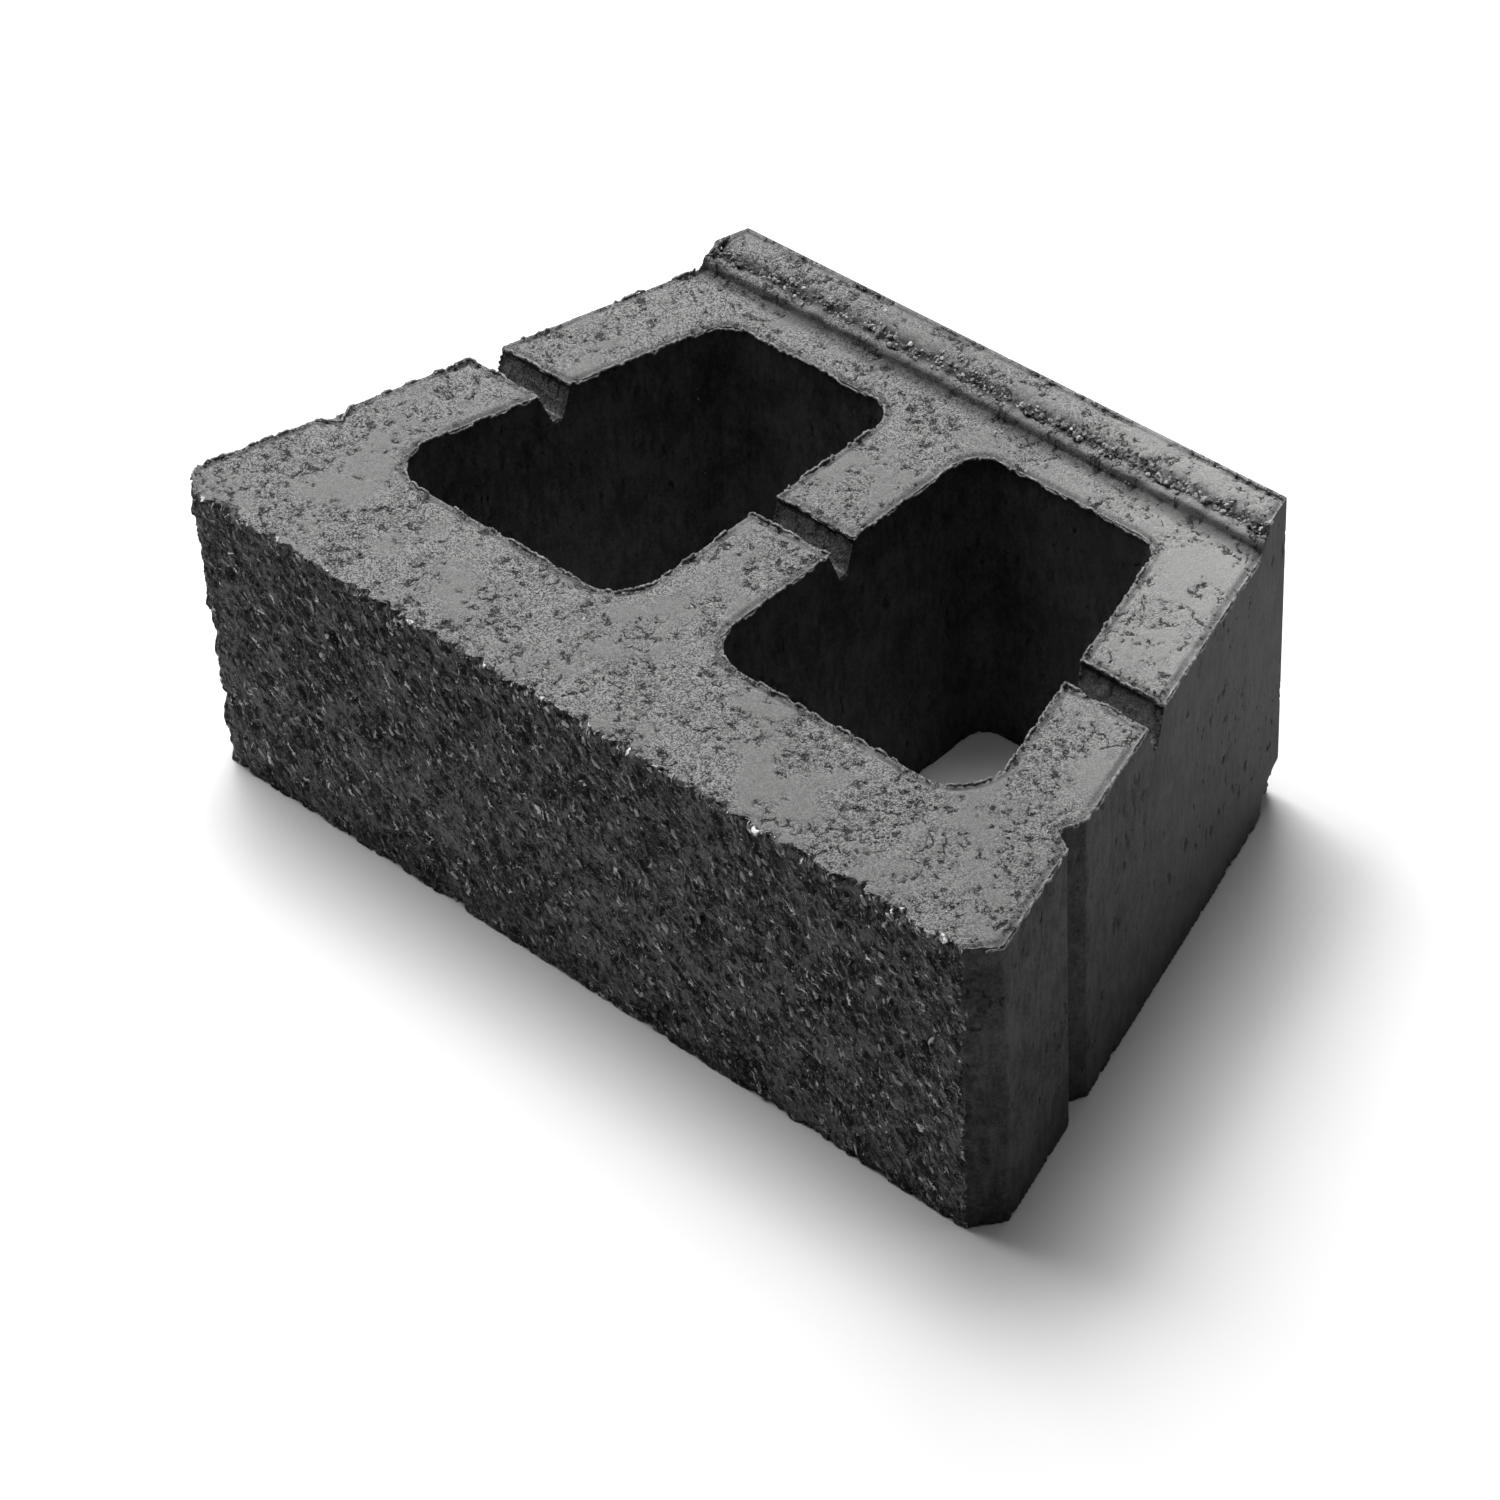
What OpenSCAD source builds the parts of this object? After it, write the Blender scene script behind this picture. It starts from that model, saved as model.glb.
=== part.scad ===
// Hollow segmental retaining-wall block with a split front face and a rear locating lip.
// Millimetres, +Z up, shown as it leaves the mould, with the lip uppermost.
// The origin is the middle of the footprint, on the bed that the block rests on.
// X runs along the wall, and the split face looks along -Y.
// The block is one casting. Its nodes are the members of that casting, and they meet
// face to face on plain joint planes.

/* [Overall size] */
// Length where the end faces are widest, at the back of the chamfered front corners
front_w = 455; // [380:1:560]
// Length along the rear face
rear_w = 304; // [250:1:360]
// Depth from the foremost plane of the split face to the rear face
depth = 281; // [230:1:340]
// Height between the two bearing faces, without the lip
body_h = 152.4; // [120:0.1:210]

/* [Front corners] */
// How far each chamfered corner cuts in along the split face
corner_run = 10.5; // [4:0.5:20]
// How far each chamfered corner runs back from the split face
corner_depth = 15; // [6:0.5:30]

/* [Walls] */
// Thickness of the front shell, from the split face to the cores
front_shell_t = 66.5; // [45:0.5:80]
// Thickness of the rear shell, from the cores to the rear face
rear_shell_t = 46; // [30:0.5:60]
// Thickness of each end web, square to its end face
end_web_t = 41; // [30:0.5:55]
// Thickness of the web between the two cores
centre_web_t = 43.5; // [30:0.5:60]

/* [Cores] */
// Radius of the two front corners of a core, at the top
front_corner_r = 21; // [10:0.5:26]
// Radius of the two rear corners of a core, at the top
rear_corner_r = 14; // [8:0.5:24]
// How far each wall of a core leans inwards between the top and the bed
core_draft = 3; // [0:0.5:5]

/* [Core-bar notches] */
// Width of the notch across the top of each web
notch_w = 15; // [8:0.5:24]
// Depth of the notch below the top of the web
notch_depth = 17; // [8:0.5:30]
// Radius at the bottom of the notch
notch_tip_r = 2; // [1:0.25:3]
// Distance from the split face to the middle of the notch
notch_y = 151.5; // [130:0.5:165]

/* [End grooves] */
// Width of the vertical groove in each end face
groove_w = 18; // [8:0.5:24]
// Depth of the vertical groove, square to the end face
groove_depth = 8; // [3:0.5:12]
// Distance from the split face to the front edge of the groove
groove_y = 70; // [40:0.5:75]

/* [Rear lip] */
// Height of the lip above the bearing face
lip_h = 12; // [6:0.5:25]
// Thickness of the lip, from its shoulder to the rear face
lip_t = 24; // [12:0.5:28]

/* [Hidden] */

// Colour of the cast concrete
concrete = [0.53, 0.53, 0.52];
// How far a cutter runs past the face that it opens
overrun = 2;
// Straight wall left between a core corner or groove and the next joint plane
joint_clear = 3;
// Facets round a core corner
corner_facets = 32;
// Facets round the bottom of a notch
tip_facets = 24;

// Lean of an end face away from square to the split face
end_slope = (front_w - rear_w) / 2 / (depth - corner_depth);
end_angle = atan(end_slope);
// Where the cores end, measured back from the split face
core_front_y = front_shell_t;
core_rear_y = depth - rear_shell_t;
// Joint planes between the shells and the webs, measured back from the split face
groove_rear_y = groove_y + groove_w * cos(end_angle);
front_joint_y = max(core_front_y + front_corner_r, groove_rear_y) + joint_clear;
rear_joint_y = core_rear_y - rear_corner_r - joint_clear;

// Distance from the middle of the block to an end face, y back from the split face
function end_x(y) = front_w / 2 - end_slope * (y - corner_depth);

// Distance from the middle of the block to the outer wall of a core
function core_outer_x(y) = end_x(y) - end_web_t / cos(end_angle);

// Middle of a core, between the centre web and its outer wall
function core_middle_x(y) = (centre_web_t / 2 + core_outer_x(y)) / 2;

// Centre of a core corner of radius r, beside the centre web
function inner_corner(y, r) = [centre_web_t / 2 + r, y];

// Centre of a core corner of radius r, beside the end web
function outer_corner(y, r) = [core_outer_x(y) - r / cos(end_angle), y];

// Moves a shape drawn from the split face to the frame of the block
module from_split_face() {
    translate([0, -depth / 2, 0])
        children();
}

// A slice of the solid block between two depths
module block_slice(y0, y1, h) {
    linear_extrude(height = h)
        polygon([
            [-end_x(y0), y0],
            [end_x(y0), y0],
            [end_x(y1), y1],
            [-end_x(y1), y1]
        ]);
}

// The front of the block in plan, with its chamfered corners
module front_slice(y1, h) {
    face_x = front_w / 2 - corner_run;
    linear_extrude(height = h)
        polygon([
            [-face_x, 0],
            [face_x, 0],
            [front_w / 2, corner_depth],
            [end_x(y1), y1],
            [-end_x(y1), y1],
            [-front_w / 2, corner_depth]
        ]);
}

// One round corner of a core, which narrows towards the bed
module core_corner(centre, r) {
    draft_rate = core_draft / body_h;
    translate([centre[0], centre[1], -overrun])
        cylinder(
            h = body_h + 2 * overrun,
            r1 = r - core_draft - draft_rate * overrun,
            r2 = r + draft_rate * overrun,
            $fn = corner_facets
        );
}

// The hollow of the core on the right
module core_void() {
    front_y = core_front_y + front_corner_r;
    rear_y = core_rear_y - rear_corner_r;
    hull() {
        core_corner(inner_corner(front_y, front_corner_r), front_corner_r);
        core_corner(outer_corner(front_y, front_corner_r), front_corner_r);
        core_corner(inner_corner(rear_y, rear_corner_r), rear_corner_r);
        core_corner(outer_corner(rear_y, rear_corner_r), rear_corner_r);
    }
}

// Both cores
module both_cores() {
    core_void();
    mirror([1, 0, 0])
        core_void();
}

// The vertical groove in the right end face, a square-cornered vee
module end_groove() {
    translate([end_x(groove_y), groove_y, -overrun])
        rotate([0, 0, end_angle])
            linear_extrude(height = body_h + 2 * overrun)
                polygon([
                    [0, 0],
                    [overrun, 0],
                    [overrun, groove_w],
                    [0, groove_w],
                    [-groove_depth, groove_w / 2]
                ]);
}

// The notch that the core bar leaves across the top of the webs, drawn along the whole block
module core_bar_notch() {
    reach = front_w + 2 * overrun;
    tip_z = body_h - notch_depth + notch_tip_r;
    side = atan((notch_w / 2 - notch_tip_r) / (notch_depth - notch_tip_r));
    touch_y = notch_tip_r * cos(side);
    touch_z = tip_z - notch_tip_r * sin(side);
    over_y = notch_w / 2 + overrun * tan(side);
    translate([-reach / 2, notch_y, 0])
        rotate([90, 0, 90])
            linear_extrude(height = reach)
                union() {
                    translate([0, tip_z])
                        circle(r = notch_tip_r, $fn = tip_facets);
                    polygon([
                        [-touch_y, touch_z],
                        [touch_y, touch_z],
                        [over_y, body_h + overrun],
                        [-over_y, body_h + overrun]
                    ]);
                }
}

// The end web on the right, between a core and its end face
module end_web() {
    difference() {
        linear_extrude(height = body_h)
            polygon([
                [core_middle_x(front_joint_y), front_joint_y],
                [end_x(front_joint_y), front_joint_y],
                [end_x(rear_joint_y), rear_joint_y],
                [core_middle_x(rear_joint_y), rear_joint_y]
            ]);
        core_void();
        core_bar_notch();
    }
}

// Front shell: the split face, its chamfered corners and the grooves in the ends
module front_shell() {
    color(concrete)
        from_split_face()
            difference() {
                front_slice(front_joint_y, body_h);
                both_cores();
                core_bar_notch();
                end_groove();
                mirror([1, 0, 0])
                    end_groove();
            }
}

// Web that closes the right end of the right core
module right_end_web() {
    color(concrete)
        from_split_face()
            end_web();
}

// Web that closes the left end of the left core
module left_end_web() {
    color(concrete)
        from_split_face()
            mirror([1, 0, 0])
                end_web();
}

// Web between the two cores
module centre_web() {
    half_w = core_middle_x(rear_joint_y);
    color(concrete)
        from_split_face()
            difference() {
                translate([-half_w, front_joint_y, 0])
                    cube([2 * half_w, rear_joint_y - front_joint_y, body_h]);
                both_cores();
                core_bar_notch();
            }
}

// Rear shell behind the cores
module rear_shell() {
    color(concrete)
        from_split_face()
            difference() {
                block_slice(rear_joint_y, depth, body_h);
                both_cores();
                core_bar_notch();
            }
}

// Lip that hooks behind the next course
module rear_lip() {
    color(concrete)
        from_split_face()
            translate([0, 0, body_h])
                block_slice(depth - lip_t, depth, lip_h);
}

front_shell();
left_end_web();
centre_web();
right_end_web();
rear_shell();
rear_lip();
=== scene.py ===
# %% [markdown]
# # A hollow retaining-wall block, cast dry and split
#
# The real block is one lump of dry-cast concrete. A mould gives it smooth dark sides, a steel shoe presses
# the top into a sandy grey bearing face, and a guillotine splits two blocks apart, which leaves the rough
# front. So there is no assembly to build here. The work is all in the surface: one skin is grown over the
# fixed frame, then it is split, chipped, pitted and crumbled where the real one is.

# %% Load the fixed frame
import bpy
import bmesh
import math
import numpy as np
from collections import Counter
from mathutils import Matrix, Vector


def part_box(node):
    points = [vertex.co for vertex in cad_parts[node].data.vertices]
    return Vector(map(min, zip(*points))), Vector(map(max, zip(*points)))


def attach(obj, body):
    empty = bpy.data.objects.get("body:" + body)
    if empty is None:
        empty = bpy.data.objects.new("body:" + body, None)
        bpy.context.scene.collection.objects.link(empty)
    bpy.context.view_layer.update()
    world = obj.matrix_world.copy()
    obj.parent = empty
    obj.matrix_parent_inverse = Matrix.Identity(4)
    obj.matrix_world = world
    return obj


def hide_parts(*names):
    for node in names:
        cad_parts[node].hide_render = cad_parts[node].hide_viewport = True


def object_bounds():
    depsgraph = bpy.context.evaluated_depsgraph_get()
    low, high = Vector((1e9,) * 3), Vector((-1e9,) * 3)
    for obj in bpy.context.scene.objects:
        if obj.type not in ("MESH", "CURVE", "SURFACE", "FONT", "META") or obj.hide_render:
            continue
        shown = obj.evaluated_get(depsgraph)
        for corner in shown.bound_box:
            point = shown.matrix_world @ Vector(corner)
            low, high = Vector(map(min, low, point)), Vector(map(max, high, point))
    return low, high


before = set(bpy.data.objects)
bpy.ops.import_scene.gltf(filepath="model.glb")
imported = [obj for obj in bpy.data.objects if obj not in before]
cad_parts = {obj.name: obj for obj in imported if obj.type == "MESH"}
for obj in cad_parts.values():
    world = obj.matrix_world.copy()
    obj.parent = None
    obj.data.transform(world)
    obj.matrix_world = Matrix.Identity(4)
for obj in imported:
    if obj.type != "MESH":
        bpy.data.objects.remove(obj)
cad_low, cad_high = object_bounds()
MM = 0.001
print("frame nodes:", sorted(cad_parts))

# %% [markdown]
# Every place on the block comes from the frame: the bed and the bearing face from the front shell, the
# shoulder and the top of the lip from the lip, and the joints between the members from the centre web and
# the rear shell.

# %% Places on the block
shell_low, shell_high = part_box("front_shell")
web_low, web_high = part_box("centre_web")
rear_low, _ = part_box("rear_shell")
lip_low, lip_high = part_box("rear_lip")
front_y, rear_y = cad_low.y, cad_high.y
bed_z, bearing_z, lip_z = shell_low.z, shell_high.z, lip_high.z
shoulder_y = lip_low.y
front_joint_y, rear_joint_y = web_low.y, rear_low.y
SAME = 0.1 * MM  # two places closer than this are the same place
print(f"bearing face {bearing_z / MM:.1f} mm up, lip {(lip_z - bearing_z) / MM:.1f} mm above it")

# %% [markdown]
# Node trees are long to write out, so they are wired through one small class. A `Wire` is an output of a
# node. Adding or multiplying wires adds the math nodes, so a formula in a tree reads as a formula. It works
# in geometry trees and in shader trees alike, because both share the same math and texture nodes.

# %% A wire that does arithmetic
def fill(tree, socket, value):
    """Joins a wire or an output to a socket, or sets the socket's own value."""
    value = getattr(value, "socket", value)
    if isinstance(value, bpy.types.NodeSocket):
        tree.links.new(value, socket)
    else:
        socket.default_value = value


def add(tree, kind, sockets=None, **settings):
    """Adds a node, applies its settings, and fills its inputs by name or by number."""
    made = tree.nodes.new(kind)
    for name, value in settings.items():
        setattr(made, name, value)
    for key, value in (sockets or {}).items():
        fill(tree, made.inputs[key], value)
    return made


class Wire:
    """One output of a node, with arithmetic."""

    def __init__(self, socket):
        self.socket = socket
        self.tree = socket.id_data

    def maths(self, operation, *values, clamp=False):
        sockets = dict(enumerate(values))
        made = add(self.tree, "ShaderNodeMath", sockets, operation=operation, use_clamp=clamp)
        return Wire(made.outputs[0])

    def __add__(self, other):
        return self.maths("ADD", self, other)

    def __sub__(self, other):
        return self.maths("SUBTRACT", self, other)

    def __rsub__(self, other):
        return self.maths("SUBTRACT", other, self)

    def __mul__(self, other):
        return self.maths("MULTIPLY", self, other)

    def __gt__(self, other):
        return self.maths("GREATER_THAN", self, other)

    def __lt__(self, other):
        return self.maths("LESS_THAN", self, other)

    __radd__ = __add__

    def at_least(self, other):
        return self.maths("MAXIMUM", self, other)

    def clamped(self):
        return self.maths("ADD", self, 0.0, clamp=True)

    def step(self, low, high, out_low=0.0, out_high=1.0):
        """A smooth step: out_low below low, out_high above high."""
        sockets = {"Value": self, "From Min": low, "From Max": high, "To Min": out_low, "To Max": out_high}
        made = add(self.tree, "ShaderNodeMapRange", sockets, interpolation_type="SMOOTHSTEP")
        return Wire(made.outputs[0])


# %% Wires that carry places and textures
def vec(operation, wire, *values):
    """One step of arithmetic on vectors. SCALE takes a vector and a number."""
    made = add(wire.tree, "ShaderNodeVectorMath", {0: wire}, operation=operation)
    for number, value in enumerate(values, start=3 if operation == "SCALE" else 1):
        fill(wire.tree, made.inputs[number], value)
    return Wire(made.outputs["Value" if operation in ("DOT_PRODUCT", "LENGTH") else "Vector"])


def axes_of(wire):
    """The three parts of a vector."""
    return [Wire(part) for part in add(wire.tree, "ShaderNodeSeparateXYZ", {0: wire}).outputs]


def vector_of(tree, x=0.0, y=0.0, z=0.0):
    """A vector from three parts."""
    return Wire(add(tree, "ShaderNodeCombineXYZ", {0: x, 1: y, 2: z}).outputs[0])


def noise(place, size, detail=2.0, rough=0.5, bend=0.0, output=0):
    """Soft noise from 0 to 1 whose lumps are about `size` metres across."""
    sockets = {"Vector": place, "Scale": 1 / size, "Detail": detail, "Roughness": rough, "Distortion": bend}
    return Wire(add(place.tree, "ShaderNodeTexNoise", sockets).outputs[output])


def shake(place, size, amount, detail=2.0):
    """A random push that changes over about `size` metres, up to half of `amount` each way."""
    push = vec("SUBTRACT", noise(place, size, detail=detail, output=1), (0.5, 0.5, 0.5))
    return vec("SCALE", push, amount)


def cells(place, size):
    """Random cells about `size` metres across: how far the nearest middle is, and a chance for each cell."""
    made = add(place.tree, "ShaderNodeTexVoronoi", {"Vector": place, "Scale": 1 / size})
    return Wire(made.outputs["Distance"]), axes_of(Wire(made.outputs["Color"]))[0]


# %% [markdown]
# A geometry tree takes named inputs, so that a size can be changed on the modifier without opening the tree.
# A modifier keys its inputs by the socket's identifier, and they are all set before the object is evaluated.
# `grown` then turns the evaluated result into a plain mesh and drops the modifiers with the object.

# %% Helpers that build and apply geometry trees
SOCKET_KINDS = {float: "NodeSocketFloat", int: "NodeSocketInt", bpy.types.Object: "NodeSocketObject",
                bpy.types.Material: "NodeSocketMaterial"}


def inputs_of(tree):
    """The named inputs of a tree, as wires."""
    return {socket.name: Wire(socket) for socket in tree.nodes.new("NodeGroupInput").outputs if socket.name}


def geometry_tree(name, inputs):
    """An empty geometry tree with one geometry input and the named inputs, given as name: value."""
    tree = bpy.data.node_groups.new(name, "GeometryNodeTree")
    tree.interface.new_socket("Geometry", in_out="INPUT", socket_type="NodeSocketGeometry")
    tree.interface.new_socket("Geometry", in_out="OUTPUT", socket_type="NodeSocketGeometry")
    for label, value in inputs.items():
        tree.interface.new_socket(label, in_out="INPUT", socket_type=SOCKET_KINDS[type(value)])
    return tree, inputs_of(tree), tree.nodes.new("NodeGroupOutput").inputs["Geometry"]


def put_modifier(thing, tree, inputs):
    """Hangs a tree on an object and sets its named inputs by their identifiers."""
    modifier = thing.modifiers.new(tree.name, "NODES")
    modifier.node_group = tree
    for item in tree.interface.items_tree:
        if item.in_out == "INPUT" and item.name in inputs:
            modifier[item.identifier] = inputs[item.name]


def grown(thing, name):
    """The evaluated mesh of an object as a plain mesh, with nothing left to evaluate."""
    graph = bpy.context.evaluated_depsgraph_get()
    mesh = bpy.data.meshes.new_from_object(thing.evaluated_get(graph))
    mesh.name = name
    bpy.data.objects.remove(thing)
    return mesh


def shown(name, mesh):
    """An object for a mesh, at the origin."""
    thing = bpy.data.objects.new(name, mesh)
    bpy.context.scene.collection.objects.link(thing)
    return thing


# %% [markdown]
# ## One casting from the frame's members
#
# The frame holds the block as shells, webs and a lip that meet on flat planes. The real block has no seams
# there. So copies of the members are welded and joined into one closed solid with boolean unions, and the
# planes inside vanish. Nothing in the frame itself is touched.
#
# The shoe leaves a small hollow at the foot of the lip, so a bar with a hollow front joins the union too.
# Its ends follow the slant of the block's ends.

# %% Join copies of the members
HOLLOW = 3.0 * MM   # radius of the hollow at the foot of the lip
OVERLAP = 1.0 * MM  # how far its bar is sunk into the lip and the shoulder
WELD = 0.001 * MM   # points closer than this are merged


def welded_copy(node):
    """A copy of a member's mesh with its loose triangles merged."""
    mesh = node.data.copy()
    work = bmesh.new()
    work.from_mesh(mesh)
    bmesh.ops.remove_doubles(work, verts=work.verts, dist=WELD)
    work.to_mesh(mesh)
    work.free()
    return shown("copy_" + node.name, mesh)


def half_width(mesh, y):
    """How far the mesh reaches along X at one Y."""
    return max(vertex.co.x for vertex in mesh.vertices if abs(vertex.co.y - y) < SAME)


def lip_hollow(lip_mesh):
    """A bar with a hollow quarter-round front, sunk a little into the lip and the shoulder."""
    slant = (half_width(lip_mesh, shoulder_y) - half_width(lip_mesh, rear_y)) / (rear_y - shoulder_y)
    steps = 6
    outline = [(OVERLAP, -OVERLAP), (OVERLAP, HOLLOW)]
    for i in range(steps + 1):
        angle = i / steps * math.pi / 2
        outline.append((HOLLOW * math.cos(angle) - HOLLOW, HOLLOW - HOLLOW * math.sin(angle)))
    outline.append((-HOLLOW, -OVERLAP))
    work = bmesh.new()
    ends = []
    for side in (-1, 1):
        ring = []
        for back, up in outline:
            reach = half_width(lip_mesh, shoulder_y) - slant * back
            ring.append(work.verts.new((side * reach, shoulder_y + back, bearing_z + up)))
        ends.append(ring)
        work.faces.new(ring)
    for i in range(len(outline)):
        j = (i + 1) % len(outline)
        work.faces.new((ends[0][i], ends[0][j], ends[1][j], ends[1][i]))
    bmesh.ops.recalc_face_normals(work, faces=work.faces)
    mesh = bpy.data.meshes.new("lip_hollow")
    work.to_mesh(mesh)
    work.free()
    return shown("lip_hollow", mesh)


members = [welded_copy(node) for _, node in sorted(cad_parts.items())]
members.append(lip_hollow(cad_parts["rear_lip"].data))
for member in members[1:]:
    union = members[0].modifiers.new("join", "BOOLEAN")
    union.operation = "UNION"
    union.solver = "EXACT"
    union.object = member
casting = grown(members[0], "casting")
for member in members[1:]:
    bpy.data.objects.remove(member)
print("one casting:", len(casting.polygons), "faces")


# %% [markdown]
# Concrete tells you how it was made at its edges. Where a mould wall met the top, wet grout squeezed up
# into a thin ragged fin. Where the block was split, the edge is broken. Where the lip was struck off, it
# crumbled. The kinds of edge are picked out of the casting by where they lie, and each becomes a wire object
# that the geometry trees can measure distances to.

# %% Pick out the edges by how they were made
LEAST_TURN = 0.3  # an edge that turns less than this, in radians, is no edge of the casting


def edge_kinds(edge):
    """The kinds an edge is: moulded, finned, broken, crumbled or bed."""
    if len(edge.link_faces) != 2 or not edge.is_convex or edge.calc_face_angle() < LEAST_TURN:
        return ()
    ends = [vertex.co for vertex in edge.verts]
    low_z, high_z = min(end.z for end in ends), max(end.z for end in ends)
    if high_z < bed_z + SAME:
        return ("bed",)
    if all(abs(end.y - front_y) < SAME for end in ends):
        return ("broken",)
    if all(abs(end.y - shoulder_y) < SAME and abs(end.z - lip_z) < SAME for end in ends):
        return ("crumbled",)
    in_a_core = abs(sum(end.x for end in ends) / 2) < shell_high.x - 30 * MM
    if low_z > bearing_z - SAME and high_z < bearing_z + SAME:
        return ("moulded", "finned")
    if low_z > bearing_z - SAME or (low_z > bearing_z - 25 * MM and in_a_core):
        return ("moulded",)
    return ()


def wire_mesh(name, edges):
    """A mesh of bare edges."""
    vertices = dict.fromkeys(vertex for edge in edges for vertex in edge.verts)
    number = {vertex: i for i, vertex in enumerate(vertices)}
    mesh = bpy.data.meshes.new(name)
    ends = [[number[vertex] for vertex in edge.verts] for edge in edges]
    mesh.from_pydata([vertex.co.copy() for vertex in number], ends, [])
    return mesh


solid = bmesh.new()
solid.from_mesh(casting)
bmesh.ops.remove_doubles(solid, verts=solid.verts, dist=WELD)
bmesh.ops.dissolve_limit(solid, angle_limit=0.002, verts=solid.verts, edges=solid.edges)
wires = {}
for kind in ("moulded", "finned", "broken", "crumbled", "bed"):
    chosen = [edge for edge in solid.edges if kind in edge_kinds(edge)]
    wires[kind] = shown(kind + "_edges", wire_mesh(kind, chosen))
    print(kind, "edges:", len(wires[kind].data.edges))
solid.free()

# %% [markdown]
# ## Patterns for shape and colour alike
#
# A crack should be both a dent and a dark line of painted shade, in the same place. So the strongest
# patterns are written once, as functions of the place, and are wired into the geometry tree and the finish
# alike.
#
# Seen from above, the pressed top has open patches with short winding cracks, pits and a few deeper holes.
# The cracks follow the line where a soft noise passes through its middle value, and a second noise cuts that
# line short. A moulded wall has a few short pits drawn upwards. A split face is torn in facets and short
# fibres that run down to the right. Its pale grains are partly broken aggregate and partly painted highlight
# where facets catch the light, and they are palest along its broken top edge.

# %% Patterns of the top, of the walls and of the split
TEAR = math.radians(52)  # how steeply the split is torn down to the right


def pressed_pattern(place):
    """How open the top is, and its cracks, its pits and its holes, each from 0 to 1."""
    x, y, _ = axes_of(place)
    flat = vector_of(place.tree, x=x, y=y)
    patch = noise(flat, 26 * MM, detail=5.0, rough=0.62).step(0.43, 0.58)
    winding = noise(vec("ADD", flat, (0.1, 0.4, 0.0)), 9 * MM, detail=4.0, rough=0.6) - 0.5
    crack = winding.maths("ABSOLUTE", winding).step(0.008, 0.042, 1.0, 0.0)
    crack = crack * noise(flat, 6 * MM, detail=3.0, rough=0.6).step(0.47, 0.55) * patch.step(0.0, 0.5)
    speck = noise(flat, 1.2 * MM, detail=3.0, rough=0.7, bend=0.6)
    pit = ((speck - (0.73 - patch * 0.15)) * 11.0).clamped()
    hollow = noise(vec("ADD", flat, (0.3, 0.2, 0.0)), 5 * MM, detail=4.0, rough=0.75, bend=0.6)
    hole = ((hollow - (0.72 - patch * 0.05)) * 12.0).clamped()
    return patch, crack, pit, hole


def wall_pattern(place):
    """The short upright pits of a moulded wall, from 0 to 1."""
    upright = vec("MULTIPLY", place, (1.0, 1.0, 0.45))
    patch = noise(place, 34 * MM, detail=3.0).step(0.40, 0.60)
    speck = noise(upright, 3.4 * MM, detail=3.0, rough=0.6, bend=0.5)
    return ((speck - (0.67 - patch * 0.09)) * 9.0).clamped()


def along_the_tear(place):
    """The flat place on the split, turned so that it is short along the tear, and shaken."""
    x, _, z = axes_of(place)
    along = x * math.cos(TEAR) - z * math.sin(TEAR)
    across = x * math.sin(TEAR) + z * math.cos(TEAR)
    torn = vector_of(place.tree, x=along * 0.42, z=across)
    return vec("ADD", torn, shake(torn, 7 * MM, 3.5 * MM))


def split_pattern(place):
    """The facets of a split face (distance and chance), its fibres, and its pale grains, partly broken
    aggregate and partly painted highlight.
    """
    torn = along_the_tear(place)
    distance, chance = cells(torn, 3.6 * MM)
    fibre = noise(torn, 1.5 * MM, detail=3.0, rough=0.7)
    x, _, z = axes_of(place)
    cluster = noise(vector_of(place.tree, x=x, z=z), 12 * MM, detail=3.0).step(0.42, 0.64)
    cluster = cluster.at_least(z.step(bearing_z - 5 * MM, bearing_z - 1 * MM, 0.0, 1.2))
    grain = noise(vec("ADD", torn, (0.5, 0.0, 0.5)), 2.5 * MM, detail=3.0, rough=0.65, bend=0.6)
    pale = ((grain - (0.66 - cluster * 0.09)) * 14.0).clamped()
    return distance, chance, fibre, pale


# %% [markdown]
# ## Finishes
#
# Four finishes cover the block: the sandy pressed top, the smooth dark moulded walls, the split stone, and
# the pale grout of fins and crumbs. They all share one effect, so it is a group: a fine sand grain.

# %% A group that the finishes share
def effect(name, inputs, outputs):
    """An empty shader group with named inputs and outputs. An input of None is a vector."""
    group = bpy.data.node_groups.new(name, "ShaderNodeTree")
    for label, value in inputs.items():
        kind = "NodeSocketVector" if value is None else "NodeSocketFloat"
        socket = group.interface.new_socket(label, in_out="INPUT", socket_type=kind)
        if value is not None:
            socket.default_value = value
    for label in outputs:
        group.interface.new_socket(label, in_out="OUTPUT", socket_type="NodeSocketFloat")
    return group, inputs_of(group), group.nodes.new("NodeGroupOutput").inputs


def per_metre(size_mm):
    """The texture scale for a size in millimetres."""
    return size_mm.maths("DIVIDE", 1 / MM, size_mm)


def sand_grain():
    """Grains of sand. Tone and Height run from 0 to 1, Sparkle and Dark are 1 on a rare grain."""
    group, given, result = effect("sand grain", {"Place": None, "Size mm": 0.8},
                                  ["Tone", "Height", "Sparkle", "Dark"])
    scale = per_metre(given["Size mm"])
    grains = add(group, "ShaderNodeTexVoronoi", {"Vector": given["Place"], "Scale": scale})
    distance = Wire(grains.outputs["Distance"])
    tint = axes_of(Wire(grains.outputs["Color"]))
    mottle = add(group, "ShaderNodeTexNoise",
                 {"Vector": given["Place"], "Scale": scale * 0.4, "Detail": 4.0, "Roughness": 0.65})
    fill(group, result["Tone"], tint[0] * 0.45 + Wire(mottle.outputs[0]) * 0.55)
    fill(group, result["Height"], (1.0 - distance).clamped())
    core = distance.step(0.2, 0.5, 1.0, 0.0)
    fill(group, result["Sparkle"], tint[1].step(0.93, 0.96) * core)
    fill(group, result["Dark"], tint[2].step(0.86, 0.92) * core)
    return group


SAND = sand_grain()
print("shared effect:", SAND.name)


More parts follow.
